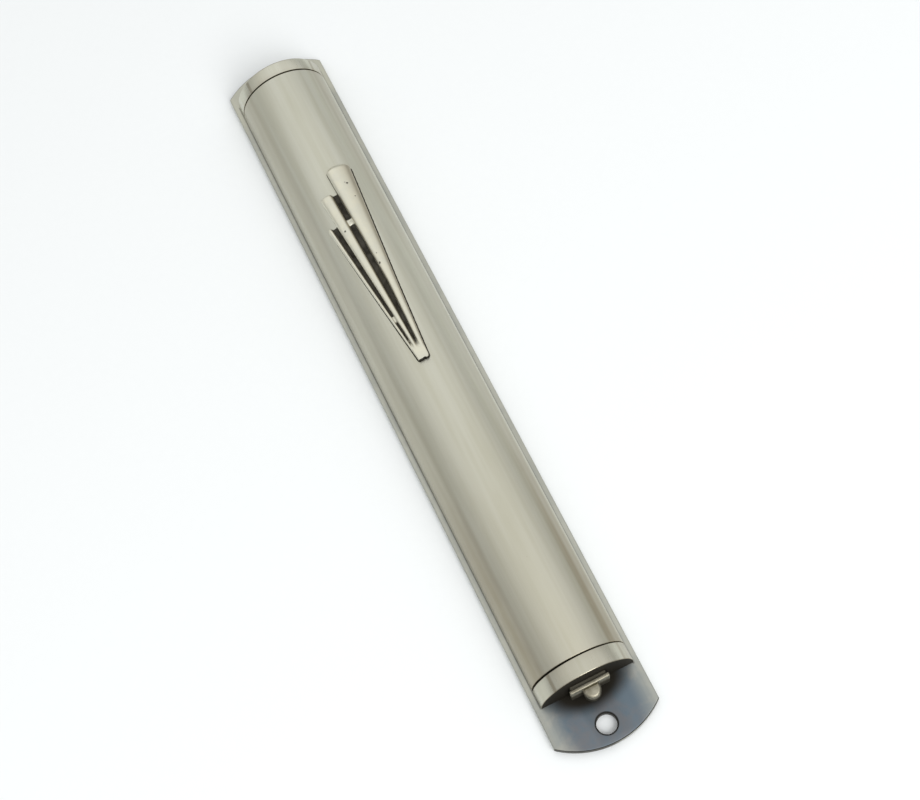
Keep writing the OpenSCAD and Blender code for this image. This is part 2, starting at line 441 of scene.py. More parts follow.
def group_around():
    """Where a point is round the shell's axis: its angle from the crown and its height."""
    tree, start, end = group(
        "Around The Shell", {"Axis Height": 2.3, "Radius": 9.8}, ["Angle", "Proud", "Along"])
    axes = xyz(tree, start.outputs["Position"])
    up = minus(tree, axes[2], start.outputs["Axis Height"])
    angle = maths(tree, "DEGREES", maths(tree, "ARCTAN2", axes[0], up))
    square = plus(tree, times(tree, axes[0], axes[0]), times(tree, up, up))
    proud = minus(tree, maths(tree, "SQRT", square), start.outputs["Radius"])
    feed(tree, end, {"Angle": angle, "Proud": proud, "Along": axes[1]})


def group_grain():
    """Brush lines that run along the case."""
    tree, start, end = group("Brushed Grain", {"Lines": 6.0, "Stretch": 0.02}, ["Height", "Streaks"])
    lines, stretch = start.outputs["Lines"], start.outputs["Stretch"]
    along = times(tree, lines, stretch)
    drawn = stretched(tree, start.outputs["Position"], (lines, along, lines))
    fine = noise(tree, drawn, 1.0, 3.0, 0.65)
    broad = noise(tree, drawn, 0.22, 2.0, 0.5)
    height = plus(tree, times(tree, fine, 0.7), times(tree, broad, 0.3))
    feed(tree, end, {"Height": height, "Streaks": ramp(tree, broad, 0.3, 0.7)})


def group_specks():
    """Small scattered specks and pits."""
    tree, start, end = group("Specks", {"Density": 0.4, "Amount": 0.2, "Size": 0.12}, ["Mask"])
    cells = add(tree, "TexVoronoi", {"Vector": start.outputs["Position"], "Scale": start.outputs["Density"]})
    reach = times(tree, start.outputs["Size"], start.outputs["Density"])
    dot = rest(tree, maths(tree, "DIVIDE", cells.outputs["Distance"], reach), clamp=True)
    pick = xyz(tree, cells.outputs["Color"])[0]
    kept = maths(tree, "LESS_THAN", pick, start.outputs["Amount"])
    feed(tree, end, {"Mask": times(tree, dot, kept)})


def group_clouds():
    """Slow blotchy change, as of toning or handling."""
    tree, start, end = group("Clouds", {"Size": 12.0, "Length": 1.0, "Low": 0.4, "High": 0.65}, ["Mask"])
    scale = maths(tree, "DIVIDE", 1.0, start.outputs["Size"])
    along = maths(tree, "DIVIDE", 1.0, start.outputs["Length"])
    drawn = stretched(tree, start.outputs["Position"], (1.0, along, 1.0))
    clouds = noise(tree, drawn, scale, 4.0, 0.6)
    clouds.node.inputs["Distortion"].default_value = 0.4
    mask = ramp(tree, clouds, start.outputs["Low"], start.outputs["High"])
    feed(tree, end, {"Mask": mask})


def new_material(name):
    """Starts a material; returns its tree, its Principled shader and the place on the piece in mm."""
    material = bpy.data.materials.new(name)
    material.use_nodes = True
    tree = material.node_tree
    return tree, tree.nodes["Principled BSDF"], object_mm(tree)


def bump(tree, height, strength, distance, normal=None):
    inputs = {"Height": height, "Strength": strength, "Distance": distance}
    if normal is not None:
        inputs["Normal"] = normal
    return add(tree, "Bump", inputs).outputs[0]


def around(tree, at):
    return place(tree, "Around The Shell", at, **{"Axis Height": AXIS_Z / MM, "Radius": SHELL_R / MM})


def band(tree, value, middle, half, soft):
    """1 within half of middle, falling to 0 over soft."""
    away = magnitude(tree, minus(tree, value, middle))
    return ramp(tree, away, half + soft, half)


def blackened(tree, shader, mask):
    """Turns the metal into a dull black coating where the mask is 1, for real blackening and for painted
    shade.
    """
    feed(tree, shader, {"Metallic": rest(tree, mask), "Specular IOR Level": 0.05})


def object_normal(tree):
    return xyz(tree, add(tree, "TexCoord").outputs["Normal"])


class ToneAndShadeBand:
    """A lengthwise band of brown, partly the finish's own brown and partly painted shade, round the shell:
    its middle angle, half width, softness and strength.

    low and high are what is added to the strength towards the bottom and the top end.
    """

    def __init__(self, middle, half, soft, strength, low=0.0, high=0.0):
        self.middle, self.half, self.soft = middle, half, soft
        self.strength, self.low, self.high = strength, low, high


# Brown bands round the shell and the caps: partly the finish's own brown, partly painted shade on the flanks
# and painted dark reflections as lines, on the shell stronger towards the ends
SHELL_TONE_AND_SHADE = (ToneAndShadeBand(-52, 4, 9, 0.22, 0.22, 0.12), ToneAndShadeBand(48, 2, 7, 0.05, 0.6, 0.2),
               ToneAndShadeBand(-71, 8, 10, 0.26, 0.22), ToneAndShadeBand(60, 5, 9, 0.26, 0.2, 0.12), ToneAndShadeBand(-89, 1, 3, 0.1))
CAP_TONE_AND_SHADE = (ToneAndShadeBand(-41, 0.8, 3, 0.5), ToneAndShadeBand(55, 0.8, 3, 0.5), ToneAndShadeBand(-20, 6, 14, 0.15), ToneAndShadeBand(20, 6, 12, 0.1),
             ToneAndShadeBand(72, 5, 14, 0.3))


def material_nickel(name, bands_of_tone_and_shade, roughness, grain, low_end_shade_amount, shade_only_at_seams):
    """Brushed antique nickel: lengthwise grain, brown bands along the flanks that are partly painted shade
    and painted dark reflections, darker towards the bottom end as painted shade, and black painted shade
    where it is out of sight.
    """
    c = colours()
    tree, shader, at = new_material(name)
    here = around(tree, at)
    brush = place(tree, "Brushed Grain", at, Lines=3.2, Stretch=0.03)
    hair = place(tree, "Brushed Grain", at, Lines=9.0, Stretch=0.03)
    blotch = place(tree, "Clouds", at, Size=6.0, Length=4.0, Low=0.38, High=0.66)["Mask"]
    specks = place(tree, "Specks", at, Density=0.28, Amount=0.12, Size=0.16)["Mask"]
    # Painted shade: darker towards the bottom end of the case
    low_end_shade = times(tree, ramp(tree, here["Along"], 35.0, -75.0, smooth=False), low_end_shade_amount)
    uneven = plus(tree, 0.85, times(tree, blotch, 0.3))
    to_low, to_high = ramp(tree, here["Along"], -5.0, -60.0), ramp(tree, here["Along"], 20.0, 45.0)
    surface = mix(tree, times(tree, brush["Streaks"], 0.7), c.nickel, c.nickel_worn)
    surface = mix(tree, times(tree, blotch, 0.25), surface, c.nickel_worn)
    # Brown bands: partly the finish's own brown, partly painted shade and painted dark reflections
    for tone_and_shade in bands_of_tone_and_shade:
        there = band(tree, here["Angle"], tone_and_shade.middle, tone_and_shade.half, tone_and_shade.soft)
        strength = plus(tree, tone_and_shade.strength, times(tree, to_low, tone_and_shade.low))
        strength = plus(tree, strength, times(tree, to_high, tone_and_shade.high))
        there = times(tree, times(tree, there, uneven), strength, clamp=True)
        surface = mix(tree, there, surface, c.toning_and_shade)
    surface = mix(tree, times(tree, low_end_shade, 0.3), surface, c.toning_and_shade)
    surface = mix(tree, times(tree, specks, 0.5), surface, c.toning_and_shade)
    # Painted dark reflection: faces turned along the case, such as the caps' rounded rims, are made browner
    facing = magnitude(tree, object_normal(tree)[1])
    surface = mix(tree, times(tree, ramp(tree, facing, 0.05, 0.6), 0.6), surface, c.toning_and_shade)
    # Painted shade: the bottom cap's end face is painted black
    low_face = ramp(tree, here["Along"], CAP_LOW.y / MM + 1.0, CAP_LOW.y / MM + 0.6)
    end_face_shade = times(tree, ramp(tree, facing, 0.6, 0.95), low_face)
    # Painted shade: surfaces below the shell's face are painted black, on the caps only next to the gaps at
    # the shell's ends
    inside = ramp(tree, here["Proud"], -0.3, -0.7)
    if shade_only_at_seams:
        seam_shade = [band(tree, here["Along"], end.y / MM, 0.9, 0.3) for end in (SHELL_LOW, SHELL_HIGH)]
        inside = times(tree, inside, most(tree, *seam_shade))
    hidden_shade = most(tree, end_face_shade, inside)
    surface = mix(tree, hidden_shade, surface, c.recess_black_and_shade)
    blackened(tree, shader, hidden_shade)
    rough = plus(tree, roughness, times(tree, minus(tree, hair["Height"], 0.5), 0.2))
    rough = plus(tree, rough, times(tree, hidden_shade, 0.3), clamp=True)
    normal = bump(tree, brush["Height"], grain, 0.06 * MM)
    normal = bump(tree, hair["Height"], grain, 0.02 * MM, normal)
    normal = bump(tree, rest(tree, specks), 0.5, 0.04 * MM, normal)
    feed(tree, shader, {"Base Color": surface, "Roughness": rough, "Normal": normal})


def material_plate():
    """Nickel plate with a painted dark reflection, blue-black in its middle and lighter towards its margins
    and top, and painted shadow under the pull, along the shell's foot, in the screw holes and along its end
    edges.
    """
    c = colours()
    tree, shader, at = new_material("Plate With Painted Reflection")
    axes = xyz(tree, at)
    brush = place(tree, "Brushed Grain", at, Lines=6.0, Stretch=0.03)
    blotch = place(tree, "Clouds", at, Size=4.0, Low=0.35, High=0.7)["Mask"]
    wander = times(tree, minus(tree, blotch, 0.5), 0.8)
    across = plus(tree, magnitude(tree, axes[0]), wander)
    half_w = PLATE_HIGH.x / MM
    # Painted dark reflection: the middle is dark, turning to the plate's own nickel towards the margins, a
    # little less near the bottom cap, and towards the top end
    clear_of_reflection = ramp(tree, across, half_w - 5.2, half_w + 0.6)
    on_land = ramp(tree, axes[1], CAP_LOW.y / MM + 4, CAP_LOW.y / MM - 1)
    clear_of_reflection = minus(tree, clear_of_reflection, times(tree, times(tree, on_land, clear_of_reflection), 0.25))
    upper = times(tree, ramp(tree, axes[1], 0.0, 60.0), 0.7)
    side = ramp(tree, magnitude(tree, object_normal(tree)[2]), 0.5, 0.2)
    bright = most(tree, clear_of_reflection, upper, times(tree, side, 0.9))
    dark = mix(tree, blotch, c.plate_dark_reflection, c.plate_tint)
    margin_colour = mix(tree, brush["Streaks"], c.plate, tuple(min(1.0, v * 1.12) for v in c.plate))
    surface = mix(tree, bright, dark, margin_colour)
    on_top = times(tree, ramp(tree, axes[1], SHELL_HIGH.y / MM - 4, SHELL_HIGH.y / MM), 0.6)
    surface = mix(tree, on_top, surface, c.nickel)
    # Painted shadow: black round the pull and under the bottom cap
    shadow_half_w, shadow_length = 8.6, 5.2
    reach_x = maths(tree, "DIVIDE", axes[0], shadow_half_w)
    reach_y = maths(tree, "DIVIDE", plus(tree, axes[1], -CAP_LOW.y / MM - 0.5), shadow_length)
    near = maths(tree, "SQRT", plus(tree, times(tree, reach_x, reach_x), times(tree, reach_y, reach_y)))
    pull_shadow = ramp(tree, near, 1.2, 0.62)
    # Painted shade: a dark line on the plate along the shell's foot
    foot = times(tree, band(tree, magnitude(tree, axes[0]), SHELL_R / MM, 0.05, 0.3), 0.5)
    middle_y, half_y = (CAP_LOW.y + TOP_HIGH.y) / 2 / MM, (TOP_HIGH.y - CAP_LOW.y) / 2 / MM
    foot = times(tree, foot, band(tree, axes[1], middle_y, half_y - 0.1, 0.3))
    # Painted shade: dark inside the screw holes and just round their rims
    from_hole = hypotenuse(tree, axes[0], minus(tree, magnitude(tree, axes[1]), HOLE_Y / MM))
    hole_shade = times(tree, ramp(tree, from_hole, HOLE_R / MM + 0.45, HOLE_R / MM + 0.15), 0.95)
    # Painted shade: dark lines on the plate's end edges, at the top rim, at the bottom and on the left
    lines = most(tree, ramp(tree, axes[2], PLATE_TOP / MM - 0.6, PLATE_TOP / MM - 0.45),
                 ramp(tree, axes[2], 0.5, 0.3), ramp(tree, axes[0], 2.0, -1.0))
    facing = object_normal(tree)
    end_edge_shade = times(tree, ramp(tree, magnitude(tree, facing[1]), 0.3, 0.5),
                     ramp(tree, facing[2], 0.99, 0.9))
    end_edge_shade = times(tree, times(tree, end_edge_shade, lines), 0.85)
    black = most(tree, pull_shadow, foot, hole_shade, end_edge_shade)
    blackened(tree, shader, black)
    feed(tree, shader, {
        "Base Color": mix(tree, black, surface, c.recess_black_and_shade),
        "Roughness": plus(tree, 0.34, times(tree, brush["Height"], 0.12)),
        "Normal": bump(tree, brush["Height"], 0.25, 0.03 * MM),
    })


# Small casting pits in the ornament: across and along, in millimetres
PITS = ((2.6, 42.0, 0.22), (-2.45, 31.8, 0.2), (0.9, 21.8, 0.24), (2.85, 38.4, 0.12), (2.2, 42.3, 0.08),
        (1.3, 24.1, 0.1), (-0.9, 29.5, 0.1))


def material_ornament():
    """Cast nickel, polished on top, black in the gaps and along the contact with the shell, partly as real
    blackening and partly as painted shade, with painted shade on its right-facing sides and the end of its
    foot.
    """
    c = colours()
    tree, shader, at = new_material("Cast Ornament")
    axes = xyz(tree, at)
    here = around(tree, at)
    blotch = place(tree, "Clouds", at, Size=2.5, Low=0.35, High=0.7)["Mask"]
    uneven = times(tree, minus(tree, blotch, 0.5), 0.25)
    # Black in the gaps and along the base: partly the casting's real blackening, partly painted shade
    low = ramp(tree, plus(tree, here["Proud"], uneven), 0.66, 0.34)
    pits = place(tree, "Specks", at, Density=0.6, Amount=0.06, Size=0.16)["Mask"]
    for x, y, radius in PITS:
        away = hypotenuse(tree, minus(tree, axes[0], x), minus(tree, axes[1], y))
        pits = most(tree, pits, ramp(tree, away, radius * 1.5, radius * 0.4))
    facing = object_normal(tree)
    surface = mix(tree, times(tree, blotch, 0.6), c.cast, c.nickel_worn)
    # Painted shade: sides facing right are made browner
    surface = mix(tree, times(tree, ramp(tree, facing[0], 0.0, 0.75), 0.65), surface, c.toning_and_shade)
    # Painted shade: the lower end of the foot is painted black
    under = times(tree, ramp(tree, facing[1], -0.15, -0.5), ramp(tree, axes[1], 0.5, -0.5))
    low = times(tree, low, plus(tree, 0.95, times(tree, blotch, 0.05)))
    black = most(tree, low, under, times(tree, pits, 0.85))
    blackened(tree, shader, black)
    normal = bump(tree, noise(tree, at, 1.6, 4.0, 0.6), 0.3, 0.15 * MM)
    feed(tree, shader, {
        "Base Color": mix(tree, black, surface, c.recess_black_and_shade),
        "Roughness": plus(tree, 0.34, times(tree, low, 0.4)),
        "Normal": bump(tree, rest(tree, pits), 0.8, 0.15 * MM, normal),
    })


def material_pull():
    """Cast nickel of the pull, with painted shade in its neck, on its lower half, in the step before the tip
    and on its right-facing sides.
    """
    c = colours()
    tree, shader, at = new_material("Cast Pull")
    axes = xyz(tree, at)
    blotch = place(tree, "Clouds", at, Size=1.6, Low=0.35, High=0.7)["Mask"]
    # Painted shade: dark in the neck, on the lower half, in the step before the tip and on the sides facing
    # right
    neck_y = (CAP_LOW.y - sizes().neck_l) / MM
    neck = ramp(tree, axes[1], neck_y - 0.15, neck_y + 0.15)
    middle = (PULL_LOW.z + PULL_HIGH.z) / 2 / MM
    below = ramp(tree, axes[2], middle + 1.6, middle - 0.4)
    front = ramp(tree, object_normal(tree)[1], -0.5, -0.95)
    step = times(tree, front, ramp(tree, axes[1], PULL_LOW.y / MM + 2.3, PULL_LOW.y / MM + 2.5))
    dark = most(tree, times(tree, neck, 0.75), below, step)
    dark = times(tree, dark, plus(tree, 0.85, times(tree, blotch, 0.15)))
    surface = mix(tree, times(tree, blotch, 0.3), c.pull, c.cast)
    right = ramp(tree, object_normal(tree)[0], 0.1, 0.7)
    dark = most(tree, dark, times(tree, right, 0.8))
    blackened(tree, shader, dark)
    feed(tree, shader, {
        "Base Color": mix(tree, dark, surface, c.recess_black_and_shade),
        "Roughness": plus(tree, 0.5, times(tree, dark, 0.3)),
        "Normal": bump(tree, noise(tree, at, 2.0, 4.0, 0.6), 0.3, 0.12 * MM),
    })


def material_steel():
    """Filed steel of the rivets."""
    tree, shader, at = new_material("Filed Steel")
    brush = place(tree, "Brushed Grain", at, Lines=9.0, Stretch=0.1)
    dark = tuple(v * 0.6 for v in colours().steel)
    feed(tree, shader, {
        "Base Color": mix(tree, brush["Streaks"], dark, colours().steel),
        "Metallic": 1.0,
        "Roughness": plus(tree, 0.3, times(tree, brush["Height"], 0.2)),
        "Normal": bump(tree, brush["Height"], 0.3, 0.03 * MM),
    })


def material_parchment():
    """Cream skin, mottled, with faint pores."""
    c = colours()
    tree, shader, at = new_material("Parchment Skin")
    blotch = place(tree, "Clouds", at, Size=6.0, Low=0.35, High=0.75)["Mask"]
    pores = place(tree, "Specks", at, Density=2.2, Amount=0.35, Size=0.12)["Mask"]
    surface = mix(tree, times(tree, blotch, 0.6), c.parchment, c.parchment_dark)
    feed(tree, shader, {
        "Base Color": mix(tree, times(tree, pores, 0.35), surface, c.parchment_dark),
        "Roughness": plus(tree, 0.55, times(tree, blotch, 0.15)),
        "Normal": bump(tree, pores, 0.4, 0.05 * MM),
        "Subsurface Weight": 0.12,
        "Subsurface Radius": (0.8 * MM, 0.5 * MM, 0.3 * MM),
    })


def material_wrapper():
    """Waxed white wrapper with soft creases."""
    c = colours()
    tree, shader, at = new_material("Waxed Wrapper")
    crease = place(tree, "Brushed Grain", at, Lines=0.8, Stretch=0.12)
    tint = tuple(v * w for v, w in zip(c.wrapper, (0.93, 0.92, 0.88)))
    feed(tree, shader, {
        "Base Color": mix(tree, crease["Streaks"], c.wrapper, tint),
        "Roughness": plus(tree, 0.32, times(tree, crease["Height"], 0.2)),
        "Normal": bump(tree, crease["Height"], 0.5, 0.25 * MM),
        "Coat Weight": 0.15,
    })


def material_floor():
    """Pale paper."""
    tree, shader, at = new_material("Pale Floor")
    fibre = noise(tree, at, 0.6, 3.0, 0.5)
    floor = colours().floor
    surface = mix(tree, fibre, floor, tuple(v * 0.985 for v in floor))
    feed(tree, shader, {"Base Color": surface, "Roughness": 0.85, "Specular IOR Level": 0.1})


# ---------------------------------------------------------------- pieces


class PieceOperator:
    """What every operator of the case shares."""

    bl_options = {"REGISTER", "UNDO"}

    def execute(self, context):
        self.build()
        return {"FINISHED"}


class CASE_OT_finishes(PieceOperator, bpy.types.Operator):
    """Makes the shader node groups and the materials of every piece"""

    bl_idname = "mezuzah_case.finishes"
    bl_label = "Finishes"

    def build(self):
        group_around()
        group_grain()
        group_specks()
        group_clouds()
        material_nickel("Brushed Nickel", SHELL_TONE_AND_SHADE, roughness=0.42, grain=0.3, low_end_shade_amount=0.9,
                        shade_only_at_seams=False)
        material_nickel("Cap Nickel", CAP_TONE_AND_SHADE, roughness=0.30, grain=0.2, low_end_shade_amount=0.7,
                        shade_only_at_seams=True)
        material_plate()
        material_ornament()
        material_pull()
        material_steel()
        material_parchment()
        material_wrapper()
        material_floor()


class CASE_OT_back_plate(PieceOperator, bpy.types.Operator):
    """Flat back plate with arc ends, screw holes and the rivets' countersinks"""

    bl_idname = "mezuzah_case.back_plate"
    bl_label = "Back Plate"

    def build(self):
        s = sizes()
        half_w, tip = PLATE_HIGH.x, PLATE_HIGH.y
        end_r = (half_w**2 + s.end_rise**2) / (2 * s.end_rise)
        corner_y, centre_y = tip - s.end_rise, tip - end_r
        half_angle = atan2(half_w, corner_y - centre_y)
        bm = bmesh.new()
        upper = arc_verts(bm, (half_w, corner_y, 0), (0, centre_y, 0), (0, 0, 1), 2 * half_angle, 48)
        lower = arc_verts(bm, (-half_w, -corner_y, 0), (0, -centre_y, 0), (0, 0, 1), 2 * half_angle, 48)
        extrude_up(bm, bm.faces.new(upper + lower), (0, 0, PLATE_TOP))
        bmesh.ops.recalc_face_normals(bm, faces=bm.faces)
        rims = [e for e in bm.edges if abs(e.verts[0].co.z - e.verts[1].co.z) < TINY]
        bevel_edges(bm, rims, s.plate_edge)
        plate = to_object(bm, "back_plate_piece")
        cut_away(plate, self.drills())
        finish_piece(plate, "Plate With Painted Reflection", "case", "plate_metal", "back_plate")

    def drills(self):
        """Everything that is drilled out of the plate."""
        s = sizes()
        bm = bmesh.new()
        over, rim = 1 * MM, 0.28 * MM
        for side in (-1, 1):
            profile = [(0, -over), (HOLE_R + over + rim, -over), (HOLE_R, rim), (HOLE_R, PLATE_TOP - rim),
                       (HOLE_R + over + rim, PLATE_TOP + over), (0, PLATE_TOP + over)]
            turned(bm, profile, (0, side * HOLE_Y, 0), 64)
        sunk = s.rivet_head_r - s.rivet_r
        for x, y in rivet_places():
            wide, narrow = s.rivet_head_r + s.fixed_gap, s.rivet_r + s.fixed_gap
            profile = [(0, -over), (wide + over, -over), (narrow, sunk), (narrow, PLATE_TOP + over),
                       (0, PLATE_TOP + over)]
            turned(bm, profile, (x, y, 0), 32)
        return to_object(bm, "plate_drills")


def rivet_places():
    """Middle of each rivet, in two rows of three."""
    s = sizes()
    x = RIVETS_HIGH.x - s.rivet_head_r
    low, high = RIVETS_LOW.y + s.rivet_head_r, RIVETS_HIGH.y - s.rivet_head_r
    return [(side * x, y) for y in (low, (low + high) / 2, high) for side in (-1, 1)]


class CASE_OT_shell_rivets(PieceOperator, bpy.types.Operator):
    """Rivets with a filed head in the plate's back and a low head on the flange"""

    bl_idname = "mezuzah_case.shell_rivets"
    bl_label = "Shell Rivets"

    def build(self):
        s = sizes()
        sunk, dish = s.rivet_head_r - s.rivet_r, 0.04 * MM
        seat = PLATE_TOP + s.flange_t
        round_off = 0.12 * MM
        bm = bmesh.new()
        for x, y in rivet_places():
            head_r, top = s.rivet_head_r, RIVETS_HIGH.z
            profile = [(0, dish), (head_r - dish, dish), (head_r, 2 * dish), (s.rivet_r, sunk + dish),
                       (s.rivet_r, seat), (head_r, seat), (head_r, top - round_off),
                       (head_r - round_off, top), (0, top)]
            turned(bm, profile, (x, y, 0), 32)
        rivets = to_object(bm, "shell_rivets_piece")
        finish_piece(rivets, "Filed Steel", "case", "rivet_metal", "shell_rivets")


class CASE_OT_body_shell(PieceOperator, bpy.types.Operator):
    """Half-round shell with inward flanges"""

    bl_idname = "mezuzah_case.body_shell"
    bl_label = "Body Shell"

    def build(self):
        s = sizes()
        y0, y1 = SHELL_LOW.y, SHELL_HIGH.y
        inner = SHELL_R - s.wall
        lip = PLATE_TOP + s.flange_t
        bm = bmesh.new()
        outer = arc_verts(bm, (SHELL_R, y0, AXIS_Z), (0, y0, AXIS_Z), (0, -1, 0), pi, 128)
        side = sqrt(inner**2 - (lip - AXIS_Z) ** 2)
        start_angle = atan2(lip - AXIS_Z, side)
        hollow = arc_verts(bm, (-side, y0, lip), (0, y0, AXIS_Z), (0, 1, 0), pi - 2 * start_angle, 96)
        foot = [bm.verts.new((x, y0, z)) for x, z in (
            (-SHELL_R, PLATE_TOP), (s.flange_w - inner, PLATE_TOP), (s.flange_w - inner, lip))]
        foot_right = [bm.verts.new((x, y0, z)) for x, z in (
            (inner - s.flange_w, lip), (inner - s.flange_w, PLATE_TOP), (SHELL_R, PLATE_TOP))]
        extrude_up(bm, bm.faces.new(outer + foot + hollow + foot_right), (0, y1 - y0, 0))
        bmesh.ops.recalc_face_normals(bm, faces=bm.faces)
        ends = [e for e in bm.edges if e.calc_face_angle(0) >= radians(60)
                and any(all(abs(v.co.y - y) < TINY for v in e.verts) for y in (y0, y1))]
        bevel_edges(bm, ends, s.shell_edge)
        shell = to_object(bm, "body_shell_piece")
        finish_piece(shell, "Brushed Nickel", "case", "shell_metal", "body_shell")


def cap_solid(bm, face_y, back_y, low_z, edge):
    """Cap's rim from its outer face to the shadow gap, with a rounded outer edge."""
    before = set(bm.verts)
    half_round(bm, face_y, back_y, SHELL_R, low_z, 128)
    bmesh.ops.recalc_face_normals(bm, faces=bm.faces)
    new = [v for v in bm.verts if v not in before]
    edges = {e for v in new for e in v.link_edges if e.calc_face_angle(0) > radians(50)}
    outer = [e for e in edges if all(abs(v.co.y - face_y) < TINY for v in e.verts)]
    bevel_edges(bm, outer, edge, 6)
    inner = [e for e in bm.edges if e.is_valid and all(abs(v.co.y - back_y) < TINY for v in e.verts)
             and e.calc_face_angle(0) > radians(50)]
    bevel_edges(bm, inner, edge / 4, 2)


class CASE_OT_top_cap(PieceOperator, bpy.types.Operator):
    """Fixed top cap with its spigot"""

    bl_idname = "mezuzah_case.top_cap"
    bl_label = "Top Cap"

    def build(self):
        s = sizes()
        back = SHELL_HIGH.y + s.cap_gap
        bm = bmesh.new()
        cap_solid(bm, TOP_HIGH.y, back, PLATE_TOP, s.cap_edge)
        cup(bm, back, TOP_LOW.y, SHELL_R - s.wall - s.fixed_gap, PLATE_TOP + s.flange_t, s.wall)
        cap = to_object(bm, "top_cap_piece")
        finish_piece(cap, "Cap Nickel", "case", "cap_metal", "top_cap")


def skew(bm):
    """Sits a bmesh askew with the bottom cap, about the middle of its inner face."""
    centre = Vector((0, SHELL_LOW.y, 0))
    bmesh.ops.rotate(bm, cent=centre, matrix=Matrix.Rotation(sizes().cap_skew, 3, "Z"), verts=bm.verts)


class CASE_OT_bottom_cap(PieceOperator, bpy.types.Operator):
    """Bottom cap, the stopper that pulls out, with its spigot"""

    bl_idname = "mezuzah_case.bottom_cap"
    bl_label = "Bottom Cap"

    def build(self):
        s = sizes()
        back = SHELL_LOW.y - s.cap_gap
        bm = bmesh.new()
        cap_solid(bm, CAP_LOW.y, back, PLATE_TOP + s.slide_gap, s.cap_edge)
        spigot_r, spigot_z = SHELL_R - s.wall - s.slide_gap, PLATE_TOP + s.flange_t + s.slide_gap
        cup(bm, back, CAP_HIGH.y, spigot_r, spigot_z, s.wall)
        skew(bm)
        cap = to_object(bm, "bottom_cap_piece")
        finish_piece(cap, "Cap Nickel", "stopper", "cap_metal", "bottom_cap")


class CASE_OT_pull_finial(PieceOperator, bpy.types.Operator):
    """Stepped pull: a neck, a cross bar and a round tip, on a peened tang"""

    bl_idname = "mezuzah_case.pull_finial"
    bl_label = "Pull"

    def build(self):
        s = sizes()
        half_w, low, high = PULL_HIGH.x, PULL_LOW.z, PULL_HIGH.z
        middle = (low + high) / 2
        face = CAP_LOW.y
        bar_y = face - s.neck_l
        tip_y = bar_y - s.bar_l
        end_y = PULL_LOW.y
        sunk = 0.15 * MM
        bm = bmesh.new()
        block(bm, (s.neck_step - half_w, bar_y - sunk, low + s.neck_step),
              (half_w - s.neck_step, face + sunk, high - s.neck_step))
        block(bm, (-half_w, tip_y, low), (half_w, bar_y, high))
        bevel_edges(bm, list(bm.edges), s.pull_edge)
        arc = arc_verts(bm, (-s.tip_r, end_y + s.tip_r, middle - s.tip_h / 2), (0, end_y + s.tip_r, 0),
                        (0, 0, 1), pi, 24)
        back = [bm.verts.new((x, tip_y + sunk, middle - s.tip_h / 2)) for x in (s.tip_r, -s.tip_r)]
        tip = extrude_up(bm, bm.faces.new(arc + back), (0, 0, s.tip_h))
        tip_verts = set(verts_of(tip)) | set(arc) | set(back)
        rims = [e for e in bm.edges if set(e.verts) <= tip_verts
                and abs(e.verts[0].co.z - e.verts[1].co.z) < TINY
                and len(e.link_faces) == 2 and e.calc_face_angle(0) > radians(50)]
        bevel_edges(bm, rims, 2.6 * s.pull_edge, 5)
        inside = SHELL_LOW.y - s.cap_gap
        tang_z = PLATE_TOP + s.flange_t + s.slide_gap + s.wall + s.peen_r + 0.01 * MM
        rod_y(bm, 0, tang_z, s.tang_r, bar_y, inside + s.peen_t / 2)
        head = rod_y(bm, 0, tang_z, s.peen_r, inside, inside + s.peen_t)
        rim = {e for v in head for e in v.link_edges
               if all(abs(w.co.y - inside - s.peen_t) < TINY for w in e.verts)}
        bevel_edges(bm, list(rim), s.pull_edge)
        skew(bm)
        pull = to_object(bm, "pull_finial_piece")
        finish_piece(pull, "Cast Pull", "stopper", "pull_metal", "pull_finial")


class Prong:
    """One prong of the ornament as it lies flat, in millimetres.

    Each station is (below the tallest tip, left edge, right edge, height).
    """

    def __init__(self, stations, tip_edge):
        self.stations, self.tip_edge = stations, tip_edge

    def at(self, below):
        """Left edge, right edge and height at a distance below the tallest tip."""
        for first, second in zip(self.stations, self.stations[1:]):
            if below <= second[0]:
                break
        t = (below - first[0]) / (second[0] - first[0])
        return [a + (b - a) * t for a, b in zip(first[1:], second[1:])]


PRONGS = (
    Prong(((0, 0.5, 3.9, 1.1), (1, -0.45, 4.75, 1.45), (30, 0.6, 2.45, 1.2), (49, 0.3, 1.2, 0.85)), 0.7),
    Prong(((6, -3.9, -1.35, 1.2), (6.6, -3.95, -1.25, 1.3), (49, -0.5, 0.1, 0.8)), 0.25),
    Prong(((12.8, -5.3, -4.55, 0.9), (13.4, -5.4, -4.4, 0.95), (49, -1.05, -0.6, 0.75)), 0.2),
)
# Small bridges of metal left by the casting: (below the tallest tip, left prong, right prong, height)
BRIDGES = ((13.8, 1, 0, 0.6), (38.3, 2, 1, 0.55))


